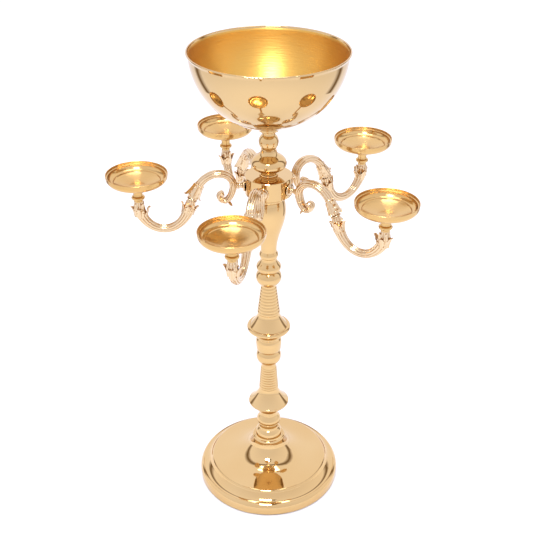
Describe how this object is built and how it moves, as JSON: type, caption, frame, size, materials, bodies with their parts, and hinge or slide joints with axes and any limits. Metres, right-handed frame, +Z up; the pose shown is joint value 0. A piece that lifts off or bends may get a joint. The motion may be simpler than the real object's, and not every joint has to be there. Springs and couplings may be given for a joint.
{
  "type": "candelabra centrepiece",
  "caption": "Tall turned brass candelabra centrepiece with a flower bowl on top and scrolled arms that each carry a shallow candle dish.",
  "frame": {"origin": "stem axis at the level of the table, centre of the base's underside", "axes": "+Z up along the stem; -Y along the first arm"},
  "size_m": [0.4902, 0.471, 0.81],
  "materials": {
    "stem_brass": "mirror polished, lacquered",
    "cast_brass": "cast and polished",
    "dish_brass": "mirror polished",
    "bowl_brass": "mirror outside, satin inside",
    "fastener_steel": "zinc plated",
    "felt": "felt"
  },
  "bodies": {
    "stand": {"base_pad": "felt", "base_plate": "stem_brass", "base_collar": "stem_brass", "base_neck": "stem_brass", "lower_flare": "stem_brass", "lower_knob": "stem_brass", "double_ring": "stem_brass", "upper_flare": "stem_brass", "upper_knob": "stem_brass", "bell_ring": "stem_brass", "vase": "stem_brass", "hub": "stem_brass", "hub_spool": "stem_brass", "top_knob": "stem_brass", "top_ball": "stem_brass", "tie_rod": "fastener_steel", "base_washer": "fastener_steel", "base_nut": "fastener_steel", "arm_studs": "fastener_steel", "arm_1": "cast_brass", "arm_2": "cast_brass", "arm_3": "cast_brass", "arm_4": "cast_brass", "arm_5": "cast_brass", "arm_flange_1": "cast_brass", "arm_flange_2": "cast_brass", "arm_flange_3": "cast_brass", "arm_flange_4": "cast_brass", "arm_flange_5": "cast_brass"},
    "bowl_turn": {"bowl": "bowl_brass", "bowl_foot": "stem_brass"},
    "dish_turn_1": {"dish_1": "dish_brass", "dish_neck_1": "dish_brass"},
    "dish_turn_2": {"dish_2": "dish_brass", "dish_neck_2": "dish_brass"},
    "dish_turn_3": {"dish_3": "dish_brass", "dish_neck_3": "dish_brass"},
    "dish_turn_4": {"dish_4": "dish_brass", "dish_neck_4": "dish_brass"},
    "dish_turn_5": {"dish_5": "dish_brass", "dish_neck_5": "dish_brass"}
  },
  "joints": [
    {"name": "bowl_screw", "type": "hinge", "parent": "stand", "child": "bowl_turn", "pos_m": [0, 0, 0.68], "axis": [0, 0, 1], "continuous": true},
    {"name": "dish_screw_1", "type": "hinge", "parent": "stand", "child": "dish_turn_1", "pos_m": [0, -0.2064, 0.5692], "axis": [0, 0, 1], "continuous": true},
    {"name": "dish_screw_2", "type": "hinge", "parent": "stand", "child": "dish_turn_2", "pos_m": [0.1963, -0.06378, 0.5692], "axis": [0, 0, 1], "continuous": true},
    {"name": "dish_screw_3", "type": "hinge", "parent": "stand", "child": "dish_turn_3", "pos_m": [0.12132, 0.16698, 0.5692], "axis": [0, 0, 1], "continuous": true},
    {"name": "dish_screw_4", "type": "hinge", "parent": "stand", "child": "dish_turn_4", "pos_m": [-0.12132, 0.16698, 0.5692], "axis": [0, 0, 1], "continuous": true},
    {"name": "dish_screw_5", "type": "hinge", "parent": "stand", "child": "dish_turn_5", "pos_m": [-0.1963, -0.06378, 0.5692], "axis": [0, 0, 1], "continuous": true}
  ]
}
